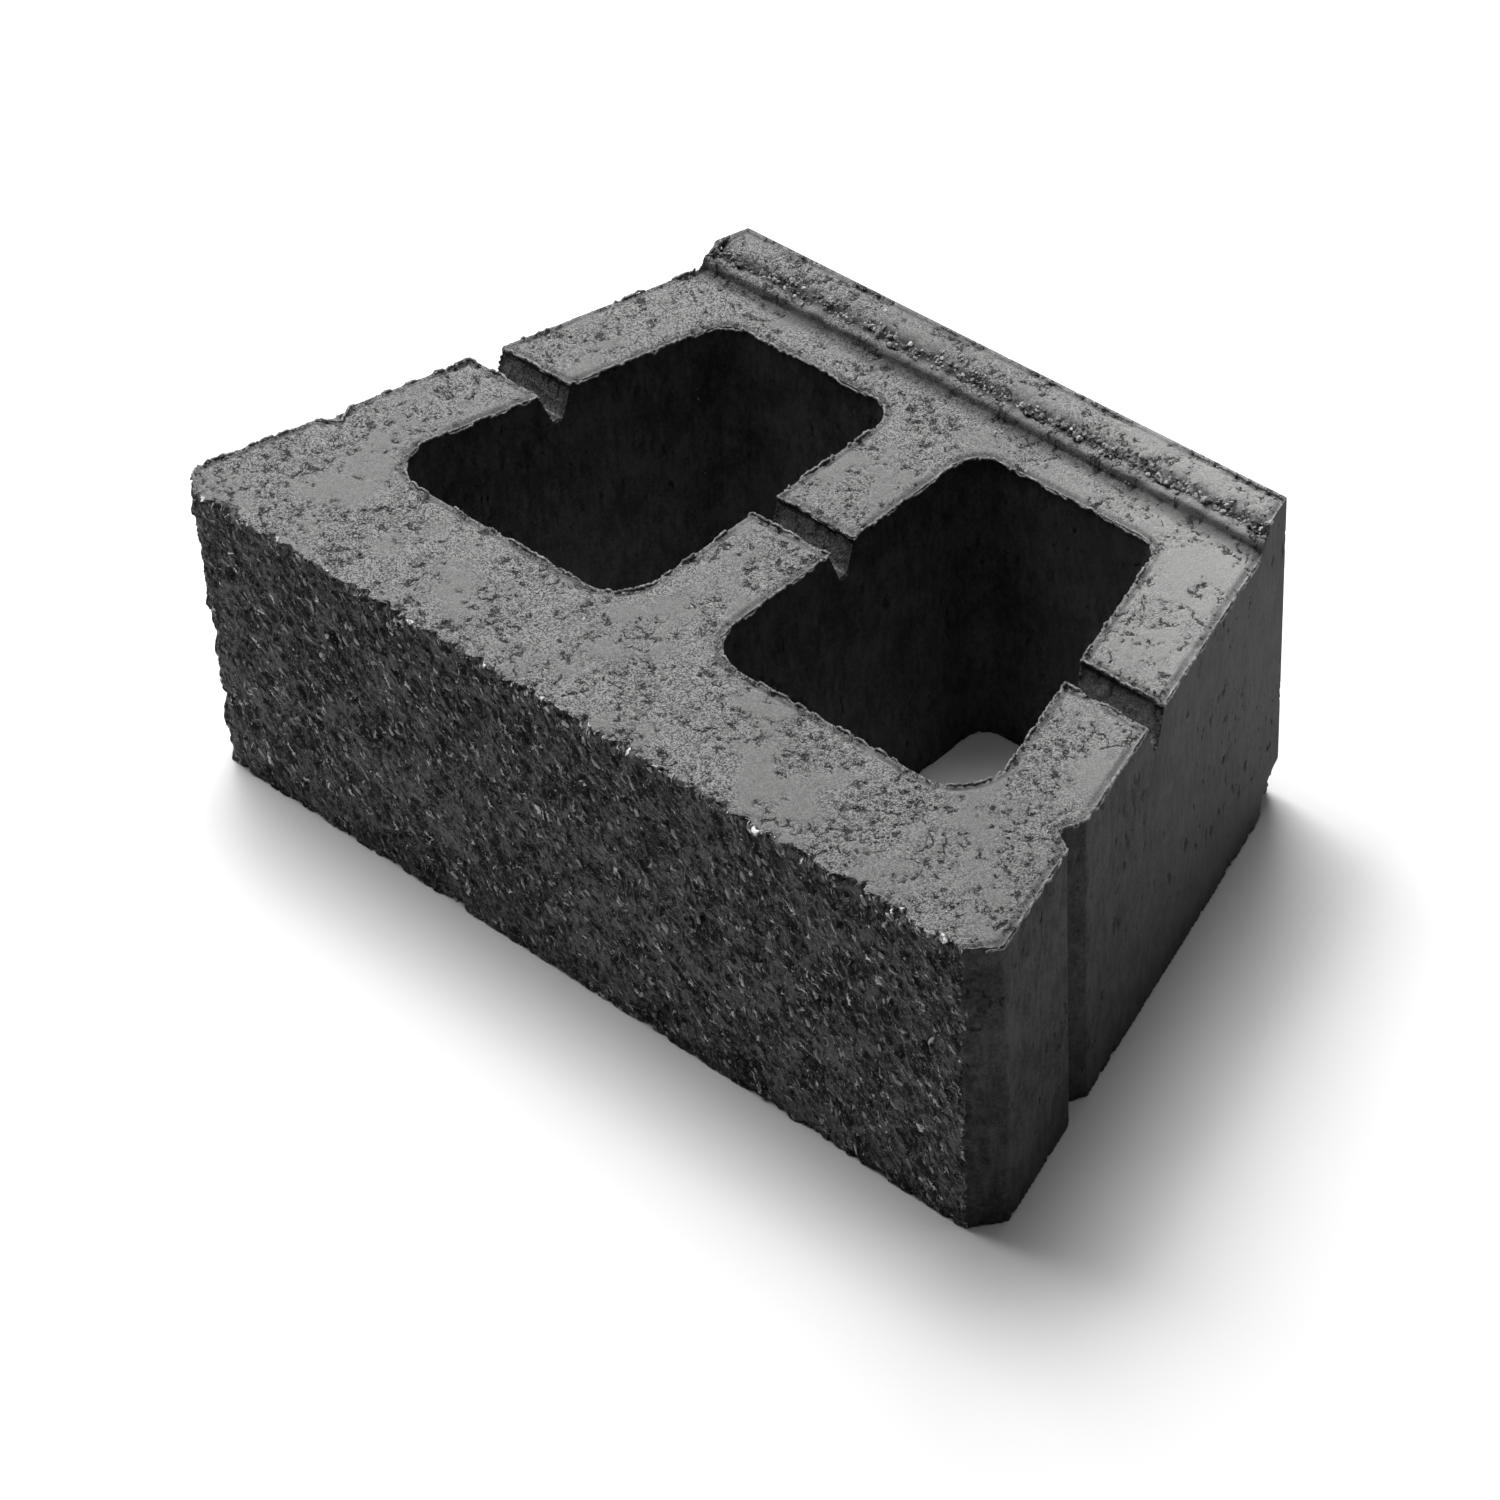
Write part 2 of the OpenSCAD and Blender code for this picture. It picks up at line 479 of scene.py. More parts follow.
# %% Helpers that start a finish
SHEEN = 0.25  # dusty concrete reflects half as much as most things


def new_finish(name, roughness):
    """A material with its Principled shader, and the place on the object to paint by."""
    material = bpy.data.materials.new(name)
    material.use_nodes = True
    tree = material.node_tree
    shader = tree.nodes["Principled BSDF"]
    shader.inputs["Roughness"].default_value = roughness
    shader.inputs["Specular IOR Level"].default_value = SHEEN
    return material, tree, shader, Wire(tree.nodes.new("ShaderNodeTexCoord").outputs["Object"])


def use(group, place, **inputs):
    """Places a shared group, with its inputs named as in the group but with _ for a space."""
    made = add(place.tree, "ShaderNodeGroup", node_tree=group)
    fill(place.tree, made.inputs["Place"], place)
    for name, value in inputs.items():
        fill(place.tree, made.inputs[name.replace("_", " ")], value)
    return {socket.name: Wire(socket) for socket in made.outputs}


def grey(level, warmth=0.0):
    """A concrete grey, a touch warmer or cooler than neutral."""
    return (level * (1 + warmth), level, level * (1 - warmth), 1.0)


def blend(factor, first, second):
    """A colour between two others."""
    made = add(factor.tree, "ShaderNodeMix", data_type="RGBA")
    for number, value in ((0, factor), (6, first), (7, second)):
        fill(factor.tree, made.inputs[number], value)
    return Wire(made.outputs[2])


def finish_with(material, shader, colour, height, depth):
    """Joins a colour and a relief of some depth to the shader."""
    tree = material.node_tree
    fill(tree, shader.inputs["Base Color"], colour)
    bump = add(tree, "ShaderNodeBump", {"Strength": 1.0, "Distance": depth, "Height": height})
    tree.links.new(bump.outputs[0], shader.inputs["Normal"])
    return material


def painted(tree, name):
    """A value that the geometry left on the surface."""
    return Wire(add(tree, "ShaderNodeAttribute", attribute_name=name).outputs["Fac"])


def painted_light_rear_right(place):
    """0 over most of the block and 1 at its right rear corner, which is painted paler there as painted
    light.
    """
    x, y, _ = axes_of(place)
    return (x + y).step(0.10, 0.27)


# %% [markdown]
# The pressed top is grey sand in cement paste, smooth in some places and open in others. The rim beside a
# mould wall has a darker gutter. Painted shade darkens the cracks, pits and holes, the notches, the gaps
# between the lip's clods and the foot of the lip, and painted light makes the right rear corner paler.

# %% Sandy pressed top
def pressed_top():
    material, tree, shader, place = new_finish("pressed_top", 0.95)
    fine = use(SAND, place, Size_mm=0.55)
    patch, crack, pit, hole = pressed_pattern(place)
    paste = noise(place, 34 * MM, detail=4.0).step(0.40, 0.62)
    colour = blend(fine["Tone"].step(0.28, 0.70), grey(0.050), grey(0.275, 0.01))
    colour = blend(paste * (0.78 - patch * 0.5), colour, grey(0.172, 0.01))
    # painted light: the top is painted paler towards its right rear corner
    colour = blend(painted_light_rear_right(place) * 0.55, colour, grey(0.37, 0.01))
    colour = blend(fine["Sparkle"] * 0.7, colour, grey(0.42))
    colour = blend(fine["Dark"] * 0.6, colour, grey(0.03))
    # painted shade: cracks, pits and holes are painted near black
    dark = crack.at_least(pit * 0.75).at_least(hole)
    colour = blend(dark * 0.85, colour, grey(0.012))
    rim = painted(tree, "rim")
    gutter = rim.step(0.8 * MM, 1.4 * MM) * rim.step(2.2 * MM, 4.4 * MM, 1.0, 0.0)
    gutter = gutter * noise(place, 9 * MM, detail=3.0).step(0.3, 0.6, 0.4, 1.0)
    colour = blend(gutter * 0.6, colour, grey(0.04))
    # painted shade: the gaps between the lip's clods are painted dark where the relief sinks deepest
    colour = blend(painted(tree, "rubble").step(1.5, 3.9) * 0.8, colour, grey(0.02))
    # painted shade: the notches' sloping walls are painted darker
    colour = blend(painted(tree, "flank") * 0.45, colour, grey(0.02))
    # painted shade at the foot of the lip
    colour = blend(painted(tree, "foot") * 0.62, colour, grey(0.025))
    height = fine["Height"] * 0.6 + fine["Tone"] * 0.8 - dark * 1.5
    return finish_with(material, shader, colour, height, 0.3 * MM)


# %% [markdown]
# The mould walls are drawn upwards as the block is stripped, so they carry faint upright streaks, soft
# blotches of paste, and a few pits that are longer than they are wide. The pits are painted dark and the
# walls are painted darker towards the bed, both as painted shade.

# %% Smooth moulded walls
def moulded_wall():
    material, tree, shader, place = new_finish("moulded_wall", 0.8)
    fine = use(SAND, place, Size_mm=0.9)
    drawn = vec("MULTIPLY", place, (1.0, 1.0, 0.35))
    streak = noise(drawn, 4 * MM, detail=4.0, rough=0.7)
    blotch = noise(place, 26 * MM, detail=5.0, rough=0.6)
    tone = streak * 0.45 + blotch * 0.35 + fine["Tone"] * 0.2
    colour = blend(tone.step(0.38, 0.63), grey(0.013), grey(0.062))
    # painted light: the walls are painted paler towards the right rear corner too
    colour = blend(painted_light_rear_right(place) * 0.4, colour, grey(0.125))
    # painted shade: the walls are painted darker towards the bed, as the shade near the floor
    painted_shade_near_bed = axes_of(place)[2].step(bed_z, bearing_z - 20 * MM, 0.3, 0.0)
    colour = blend(painted_shade_near_bed, colour, grey(0.010))
    pit = wall_pattern(place)
    # painted shade: the wall's pits are painted near black
    colour = blend(pit * 0.85, colour, grey(0.005))
    return finish_with(material, shader, colour, tone * 2.0 - pit, 0.4 * MM)


# %% [markdown]
# A split face shows the inside of the mix: dark stone and paste in torn fibres, with pale faces where an
# aggregate grain broke across. These pale faces are painted nearly white, partly as painted highlight.

# %% Split stone
def split_stone():
    material, tree, shader, place = new_finish("split_stone", 0.9)
    _, chance, fibre, pale = split_pattern(place)
    fine = use(SAND, place, Size_mm=0.8)
    drift = noise(place, 15 * MM, detail=4.0, rough=0.6).step(0.36, 0.64)
    tone = fibre.step(0.36, 0.66) * 0.4 + chance * 0.2 + drift * 0.18 + fine["Tone"] * 0.22
    colour = blend(tone.step(0.30, 0.74), grey(0.012), grey(0.145))
    # partly painted highlight: pale grains are painted nearly white, as facets catching the light
    colour = blend(pale * 0.95, colour, grey(0.85, 0.01))
    colour = blend(fine["Sparkle"] * 0.8, colour, grey(0.45))
    return finish_with(material, shader, colour, fibre + pale * 0.4 + fine["Height"] * 0.4, 0.9 * MM)


# %% Pale grout
def pale_grout():
    material, tree, shader, place = new_finish("pale_grout", 0.9)
    fine = use(SAND, place, Size_mm=0.7)
    mottle = noise(place, 2.4 * MM, detail=3.0, rough=0.7).step(0.38, 0.62)
    colour = blend(fine["Tone"] * 0.4 + mottle * 0.6, grey(0.03), grey(0.33))
    colour = blend(painted(tree, "shade"), colour, grey(0.42, 0.01))
    return finish_with(material, shader, colour, fine["Height"], 0.2 * MM)


FINISH = {made.name: made for made in (pressed_top(), moulded_wall(), split_stone(), pale_grout())}
print("finishes:", sorted(FINISH))

# %% [markdown]
# ## Weathering the skin
#
# The casting is remeshed on a fine grid, which rounds its edges a little and gives every face points to
# move. A geometry tree then moves them in the order that the real surface was made: the split, the rims
# beside the mould, the crumbled lip, and last the grain and pits. Each step only takes concrete away, but
# for the grout in the left groove, and a final step keeps every point inside the frame's own box.

# %% Wires that a geometry tree reads from the skin
def position(tree):
    return Wire(tree.nodes.new("GeometryNodeInputPosition").outputs[0])


def stored(tree, name, kind="FLOAT"):
    """A stored value."""
    return Wire(add(tree, "GeometryNodeInputNamedAttribute", {"Name": name}, data_type=kind).outputs[0])


def distance_to(thing):
    """The distance from each point to a wire object."""
    info = add(thing.tree, "GeometryNodeObjectInfo", {"Object": thing}).outputs["Geometry"]
    near = add(thing.tree, "GeometryNodeProximity", {0: info}, target_element="EDGES")
    return Wire(near.outputs["Distance"])


# %% Steps that a geometry tree takes
def moved(geometry, offset):
    """The geometry with its points moved by an offset."""
    made = add(geometry.tree, "GeometryNodeSetPosition", {"Geometry": geometry, "Offset": offset})
    return Wire(made.outputs[0])


def sunk(geometry, depth):
    """The geometry with its points moved inwards, against the way the mould faced."""
    return moved(geometry, vec("SCALE", stored(geometry.tree, "facing", "FLOAT_VECTOR"), 0.0 - depth))


def kept(geometry, name, value, domain="POINT", kind="FLOAT"):
    """The geometry with a value stored on it under a name."""
    made = add(geometry.tree, "GeometryNodeStoreNamedAttribute", data_type=kind, domain=domain)
    for key, given in (("Geometry", geometry), ("Name", name), ("Value", value)):
        fill(geometry.tree, made.inputs[key], given)
    return Wire(made.outputs[0])


def kept_in_box(geometry):
    """The geometry with no point outside the frame's box."""
    inside = vec("MINIMUM", vec("MAXIMUM", position(geometry.tree), tuple(cad_low)), tuple(cad_high))
    made = add(geometry.tree, "GeometryNodeSetPosition", {"Geometry": geometry, "Position": inside})
    return Wire(made.outputs[0])


def finished(geometry, material, selection=True):
    """The geometry with its instances made real and a finish put on."""
    real = add(geometry.tree, "GeometryNodeRealizeInstances", {0: geometry}).outputs[0]
    sockets = {"Geometry": real, "Selection": selection, "Material": material}
    return Wire(add(geometry.tree, "GeometryNodeSetMaterial", sockets).outputs[0])


# %% [markdown]
# First the tree notes what each point was part of while the surface is still clean: which way it faced,
# whether it is on the pressed top, the split front, a notch's wall or the lip, and how far it is from a
# moulded edge and from the foot of the lip. The pressed finish runs a little way round the rounded edges.

# %% Note what each point belongs to
def note_zones(geometry, given):
    tree = geometry.tree
    facing = Wire(tree.nodes.new("GeometryNodeInputNormal").outputs[0])
    _, ahead, up = axes_of(facing)
    _, y, z = axes_of(position(tree))
    top = (up > 0.6) * (z > bearing_z - 3 * MM)
    front = (ahead < -0.75) * (y < front_y + 2 * MM)
    flank = (up > 0.2) * (up < 0.7) * (z < bearing_z - 1.5 * MM)
    near_edge = distance_to(given["Crumbled edges"]).step(3.5 * MM, 6.5 * MM, 1.0, 0.0)
    strip = (y > shoulder_y - 2 * MM) * (z > bearing_z + 4 * MM) * near_edge.at_least(up > 0.3)
    lip_front = (y < rear_y - 10 * MM) * (z > bearing_z + 0.2 * MM) * (ahead < -0.3)
    rounding = (up > 0.15) * (z > bearing_z - 1.5 * MM)
    from_foot = vec("LENGTH", vector_of(tree, y=y - shoulder_y, z=z - bearing_z))
    geometry = kept(geometry, "facing", facing, kind="FLOAT_VECTOR")
    for name, zone in (("top", top), ("front", front), ("flank", flank), ("lip", strip)):
        geometry = kept(geometry, name, zone)
    # painted shade: how strongly the foot of the lip is painted dark, falling off over a few millimetres
    geometry = kept(geometry, "foot", from_foot.step(1.5 * MM, 8.5 * MM, 1.0, 0.0))
    geometry = kept(geometry, "pressed_part", (rounding + flank + strip + lip_front).clamped(), "FACE")
    geometry = kept(geometry, "split_part", front, "FACE")
    return kept(geometry, "rim", distance_to(given["Moulded edges"]))


# %% [markdown]
# The split leans back a little towards the top, swells and dips over a hand's width, and is torn into
# short facets. Its upper edge is bitten away in places. The concrete just behind it closes up, so that
# nothing overlaps.

# %% Split the front
FOREMOST = 6.2 * MM  # taken off the relief, so that its foremost points lie in the frame's front plane
CLOSING = 14.0 * MM  # how deep behind the split the concrete closes up


def split_front(geometry, given):
    tree = geometry.tree
    x, y, z = axes_of(position(tree))
    flat = vector_of(tree, x=x, z=z)
    lean = z.step(bed_z, bearing_z, 0.0, 2.4 * MM)
    swell = noise(flat, 80 * MM, detail=1.0) * (3.0 * MM)
    lumps = noise(flat, 12 * MM, detail=3.0, rough=0.6, bend=0.4) * (5.6 * MM)
    distance, chance, fibre, pale = split_pattern(flat)
    facets = distance * (1.5 * MM) + chance * (1.8 * MM)
    fibres = fibre * (1.6 * MM) - pale * (0.7 * MM)
    hollows = noise(flat, 30 * MM, detail=2.0).step(0.52, 0.75) * (3.0 * MM)
    depth = (lean + swell + lumps + hollows + facets + fibres - FOREMOST).at_least(0.0)
    edge = distance_to(given["Broken edges"])
    bites = noise(flat, 7 * MM, detail=3.0, rough=0.6).step(0.40, 0.66)
    bites = bites * edge.step(0.0, 6 * MM, 3.0 * MM, 0.0)
    bites = bites * z.step(bearing_z - 9 * MM, bearing_z - 2 * MM, 0.25, 1.0)
    near = y.step(front_y, front_y + CLOSING, 1.0, 0.0) * given["Split depth"]
    return moved(geometry, vector_of(tree, y=(depth + bites) * near, z=bites * near * -0.25))


# %% [markdown]
# Beside each moulded edge the shoe leaves a shallow gutter, and the edge itself is nicked here and there.

# %% Cut the gutter behind the rims
def cut_gutter(geometry, given):
    tree = geometry.tree
    place = position(tree)
    rim = stored(tree, "rim")
    gutter = rim.step(0.7 * MM, 1.4 * MM) * rim.step(2.0 * MM, 4.2 * MM, 1.0, 0.0)
    gutter = gutter * noise(place, 22 * MM).step(0.3, 0.62, 0.6, 1.3)
    nicks = noise(place, 4 * MM, detail=3.0, rough=0.6).step(0.42, 0.60)
    nicks = nicks * rim.step(0.4 * MM, 1.8 * MM, 1.0, 0.0)
    drop = (gutter + nicks) * stored(tree, "top") * given["Rim depth"]
    return moved(geometry, vector_of(tree, z=0.0 - drop))


# %% [markdown]
# The front edge of the lip crumbled as the shoe lifted. It is eaten away in lumps, and the strip of top
# behind it is loose and lumpy for a finger's width. The bed's edges are chipped here and there, one rear
# corner has been knocked, and grout was smeared into the mouth of the left groove.

# %% Crumble the lip and chip the bed
KNOCK_REACH = 22.0 * MM        # how far round the corner the knock is felt
KNOCK_DEPTH = 12.0 * MM        # how deep it is at the corner itself, at most
KNOCK_WAY = (-0.8, -0.3, 0.5)  # which way it pushes


def crumble(geometry, given):
    tree = geometry.tree
    place = position(tree)
    y = axes_of(place)[1]
    edge = distance_to(given["Crumbled edges"])
    eaten = noise(place, 10 * MM, detail=4.0, rough=0.65).step(0.30, 0.70, 1.2 * MM, 6.2 * MM)
    eaten = eaten * edge.step(0.0, 10 * MM, 1.0, 0.0) * given["Crumble"]
    geometry = moved(geometry, vector_of(tree, y=eaten * 0.75, z=eaten * -0.66))
    distance, chance = cells(vec("ADD", place, shake(place, 5 * MM, 5 * MM, detail=3.0)), 5.4 * MM)
    loose = distance * 3.2 + chance * 1.8 + noise(place, 2.2 * MM, detail=3.0, rough=0.75) * 2.8
    loose = loose * y.step(shoulder_y + 5 * MM, shoulder_y + 13 * MM, 1.0, 0.10) * stored(tree, "lip")
    geometry = sunk(kept(geometry, "rubble", loose), loose * given["Crumble"] * MM)
    chips = noise(place, 7 * MM, detail=3.0).step(0.5, 0.75, 0.0, 2.4 * MM)
    chips = chips * distance_to(given["Bed edges"]).step(0.0, 5 * MM, 1.0, 0.0)
    knock = vec("LENGTH", vec("SUBTRACT", place, (rear_corner_x, rear_y, bed_z)))
    knock = knock.step(4 * MM, KNOCK_REACH, 1.0, 0.0) * noise(place, 7 * MM, detail=3.0) * KNOCK_DEPTH
    inwards = vec("SCALE", vector_of(tree, *KNOCK_WAY), knock)
    geometry = moved(sunk(geometry, chips), inwards)
    mouth = vec("LENGTH", vec("SUBTRACT", position(tree), tuple(groove_tip)))
    smeared = mouth.step(1 * MM, 10 * MM, 1.0, 0.0) * noise(place, 5 * MM).step(0.2, 0.8, 3 * MM, 6 * MM)
    return moved(geometry, vector_of(tree, x=0.0 - smeared))


def left_groove_tip():
    """The top of the left groove's deepest line: the furthest in of the outer points behind the corner."""
    places = [vertex.co.copy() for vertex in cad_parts["front_shell"].data.vertices]
    outer = [place for place in places if abs(place.z - bearing_z) < SAME
             and place.x < shell_low.x + 45 * MM and place.y > front_y + 40 * MM]
    return max(outer, key=lambda place: place.x)


rear_corner_x = half_width(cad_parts["rear_shell"].data, rear_y)
groove_tip = left_groove_tip()
print("rear corner, mm:", round(rear_corner_x / MM))
print("left groove's tip, mm:", [round(part / MM) for part in groove_tip])

# %% [markdown]
# Last comes the open texture. Patches of the top are loose and lumpy with pits between the lumps, and the
# rest is close, with only its grain. The walls have much less of both.

# %% Open the grain and the pits
def open_texture(geometry, given):
    tree = geometry.tree
    place = position(tree)
    top, flank, front = (stored(tree, name) for name in ("top", "flank", "front"))
    patch, crack, pit, hole = pressed_pattern(place)
    distance, chance = cells(vec("ADD", place, shake(place, 4 * MM, 3 * MM)), 3.0 * MM)
    lumps = (distance * 0.8 + chance * 0.5) * patch * given["Lumps"]
    dents = crack * 0.8 + pit * 0.5 + hole * 1.6
    grain = noise(place, 1.7 * MM, detail=3.0, rough=0.65) * given["Grain"]
    on_top = (lumps + dents * given["Pit depth"] + grain * (0.6 + patch * 0.6)) * top
    on_walls = wall_pattern(place) * given["Pit depth"] * 0.6 + grain * 0.3
    on_walls = on_walls * (1.0 - top) * (1.0 - front)
    torn = noise(place, 5 * MM, detail=4.0, rough=0.7) * flank * given["Lumps"] * 2.4
    geometry = kept(geometry, "patch", patch)
    return sunk(geometry, on_top + on_walls + torn)


# %% Put the steps together
def weathering_tree(inputs):
    tree, given, result = geometry_tree("weathering", inputs)
    geometry = given["Geometry"]
    for step in (note_zones, split_front, cut_gutter, crumble, open_texture):
        geometry = step(geometry, given)
    geometry = kept_in_box(geometry)
    geometry = finished(geometry, given["Wall finish"])
    geometry = finished(geometry, given["Top finish"], stored(tree, "pressed_part") > 0.5)
    geometry = finished(geometry, given["Split finish"], stored(tree, "split_part") > 0.5)
    fill(tree, result, add(tree, "GeometryNodeSetShadeSmooth", {"Geometry": geometry}).outputs[0])
    return tree


GRID = 0.85 * MM
skin_inputs = {
    "Moulded edges": wires["moulded"],
    "Broken edges": wires["broken"],
    "Crumbled edges": wires["crumbled"],
    "Bed edges": wires["bed"],
    "Split depth": 1.0,
    "Rim depth": 1.0 * MM,
    "Crumble": 1.0,
    "Lumps": 1.0 * MM,
    "Pit depth": 1.0 * MM,
    "Grain": 0.5 * MM,
    "Wall finish": FINISH["moulded_wall"],
    "Top finish": FINISH["pressed_top"],
    "Split finish": FINISH["split_stone"],
}
block = shown("block", casting)
grid = block.modifiers.new("grid", "REMESH")
grid.mode = "VOXEL"
grid.voxel_size = GRID * 1.0
put_modifier(block, weathering_tree(skin_inputs), skin_inputs)
skin = shown("skin", grown(block, "skin"))
print("skin:", len(skin.data.polygons), "faces")

# %% [markdown]
# The skin has over a million triangles, which is more than one piece should hold. It is divided along the
# frame's own members, and the two long shells are divided further. Faces are handed out by where their
# middle lies, so neighbours share the very same points and no seam shows. Each part is then capped.

# %% Divide the skin into members
FRONT_PARTS, REAR_PARTS = 4, 3


def share(x, half, parts):
    """Which of a row of equal parts a place along X falls in."""
    return np.clip(np.floor((x + half) / (2 * half) * parts), 0, parts - 1)


def part_numbers(mesh):
    """A number for each face: the front shell's parts, then the rear shell's, then the three webs."""
    middle = np.empty(len(mesh.polygons) * 3)
    mesh.polygons.foreach_get("center", middle)
    x, y, _ = middle.reshape(-1, 3).T
    webs = FRONT_PARTS + REAR_PARTS + np.where(np.abs(x) < web_high.x + 5 * MM, 1, np.where(x < 0, 0, 2))
    front = share(x, shell_high.x, FRONT_PARTS)
    rear = FRONT_PARTS + share(x, rear_corner_x, REAR_PARTS)
    return np.where(y < front_joint_y, front, np.where(y > rear_joint_y, rear, webs)).astype(np.int32)


def one_part_tree(inputs):
    """A tree that keeps the faces of one part."""
    tree, given, result = geometry_tree("one part", inputs)
    apart = stored(tree, "part", "INT") - given["Number"]
    sockets = {"Geometry": given["Geometry"], "Selection": apart * apart > 0.5}
    fill(tree, result, add(tree, "GeometryNodeDeleteGeometry", sockets, domain="FACE").outputs[0])
    return tree


def capped(mesh):
    """Closes the cuts of a part. The cap meets the skin at a hard edge, so the skin's shading runs on.

    Where a cut passes twice through one point, the point is parted first, or the cap wouldn't be made.
    """
    work = bmesh.new()
    work.from_mesh(mesh)
    passes = Counter(vertex for edge in work.edges if edge.is_boundary for vertex in edge.verts)
    for vertex in [vertex for vertex, times in passes.items() if times > 2]:
        bmesh.utils.vert_separate(vertex, [edge for edge in vertex.link_edges if edge.is_boundary])
    cut = [edge for edge in work.edges if edge.is_boundary]
    caps = bmesh.ops.edgeloop_fill(work, edges=cut)["faces"]
    for edge in cut:
        edge.smooth = False
    bmesh.ops.triangulate(work, faces=caps)
    still_open = sum(edge.is_boundary for edge in work.edges)
    print(f"{len(caps)} cuts capped, {still_open} edges left open")
    work.to_mesh(mesh)
    work.free()
    return mesh


numbers = skin.data.attributes.new("part", "INT", "FACE")
numbers.data.foreach_set("value", part_numbers(skin.data))
PARTS = [(f"front_shell_{i + 1}", ["front_shell"]) for i in range(FRONT_PARTS)]
PARTS += [(f"rear_shell_{i + 1}", ["rear_shell", "rear_lip"]) for i in range(REAR_PARTS)]
PARTS += [(name, [name]) for name in ("left_end_web", "centre_web", "right_end_web")]
one_part = one_part_tree({"Number": 0})
for number, (name, nodes) in enumerate(PARTS):
    cutter = shown("cutter", skin.data)
    put_modifier(cutter, one_part, {"Number": number})
    piece = shown("skin_" + name, capped(grown(cutter, name)))
    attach(piece, "root")
    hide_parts(*nodes)
    print(piece.name, sum(len(face.vertices) - 2 for face in piece.data.polygons), "triangles")

# %% [markdown]
# ## Fins of grout
#
# The fin along a moulded edge is thinner than the skin's grid can hold, so it is a piece of its own. A tree
# turns the wire of edges into curves, sweeps a small ragged bead along them, and lets it sink out of sight
# where the real fin has broken off. There is none beside the split nor behind the lip's shoulder.

# %% Sweep the fins
def fin_tree(inputs):
    tree, given, result = geometry_tree("fins", inputs)
    curve = add(tree, "GeometryNodeMeshToCurve", {0: given["Geometry"]}).outputs[0]
    sockets = {"Curve": curve, "Length": given["Step"]}
    curve = Wire(add(tree, "GeometryNodeResampleCurve", sockets, mode="LENGTH").outputs[0])
    y = axes_of(position(tree))[1]
    lost = (y < front_y + 9 * MM) + (y > shoulder_y - HOLLOW)
    sockets = {"Geometry": curve, "Selection": lost}
    curve = Wire(add(tree, "GeometryNodeDeleteGeometry", sockets).outputs[0])
    gone = noise(position(tree), 10 * MM, detail=4.0, rough=0.65).step(0.44, 0.56)
    thick = noise(position(tree), 1.6 * MM, detail=3.0, rough=0.8).step(0.38, 0.62, 0.25, 1.15)
    curve = moved(curve, shake(position(tree), 3 * MM, 1.8 * MM, detail=5.0))
    curve = moved(curve, vector_of(tree, z=gone * (-1.8 * MM) - 0.15 * MM))
    curve = add(tree, "GeometryNodeSetCurveRadius", {"Curve": curve, "Radius": thick}).outputs[0]
    sockets = {"Resolution": 6, "Radius": given["Thickness"]}
    ring = add(tree, "GeometryNodeCurvePrimitiveCircle", sockets).outputs[0]
    sockets = {"Curve": curve, "Profile Curve": ring, "Fill Caps": True}
    swept = Wire(add(tree, "GeometryNodeCurveToMesh", sockets).outputs[0])
    geometry = moved(swept, shake(position(tree), 0.9 * MM, given["Raggedness"]))
    fill(tree, result, finished(kept_in_box(geometry), given["Finish"]))
    return tree


fin_inputs = {
    "Step": 0.6 * MM,
    "Thickness": 0.6 * MM,
    "Raggedness": 1.2 * MM,
    "Finish": FINISH["pale_grout"],
}
fin_path = shown("fin_path", wires["finned"].data)
put_modifier(fin_path, fin_tree(fin_inputs), fin_inputs)
fins = shown("grout_fins", grown(fin_path, "grout_fins"))
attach(fins, "root")
print("fins:", len(fins.data.polygons), "faces")

# %% [markdown]
# ## Crumbs and chips
#
# Loose lumps of aggregate sit on the lip's front edge and in the open patches of the top, and pale slivers
# stand out of the split face. One tree scatters them all. It finds the zone to scatter on by the names that
# the skin was given, and leaves each lump its own shade. A lump has only twenty faces, which suits its
# broken look.

# %% Scatter lumps on a zone of the skin
def chance_of(tree, seed):
    """A number from 0 to 1 drawn for each lump."""
    made = add(tree, "FunctionNodeRandomValue", {"Seed": seed}, data_type="FLOAT")
    return Wire(made.outputs[1])


def scatter_tree(name, zone, shape, inputs):
    """Scatters lumps where the zone's value is high. Shape is how the lumps are turned and stretched."""
    tree, given, result = geometry_tree(name, inputs)
    chosen = zone(tree) > noise(position(tree), 5 * MM)
    sockets = {"Mesh": given["Geometry"], "Selection": chosen}
    sockets |= {key: given[key] for key in ("Density", "Seed")}
    points = add(tree, "GeometryNodeDistributePointsOnFaces", sockets, distribute_method="RANDOM")
    lump = add(tree, "GeometryNodeMeshIcoSphere", {"Radius": 0.5, "Subdivisions": 1}).outputs[0]
    size = chance_of(tree, 3)
    size = given["Smallest"] + size * size * size * (given["Largest"] - given["Smallest"])
    sockets = {0: shape["turn_low"], 1: shape["turn_high"], "Seed": 4}
    turn = add(tree, "FunctionNodeRandomValue", sockets, data_type="FLOAT_VECTOR").outputs[0]
    sockets = {"Points": points.outputs["Points"], "Instance": lump, "Rotation": turn,
               "Scale": vec("SCALE", vector_of(tree, *shape["stretch"]), size)}
    placed = Wire(add(tree, "GeometryNodeInstanceOnPoints", sockets).outputs[0])
    shade = chance_of(tree, 5)
    placed = kept(placed, "shade", shade * shade, "INSTANCE")
    real = Wire(add(tree, "GeometryNodeRealizeInstances", {0: placed}).outputs[0])
    real = kept_in_box(moved(real, shake(position(tree), 1.6 * MM, given["Largest"] * 0.4)))
    fill(tree, result, finished(real, given["Finish"]))
    return tree


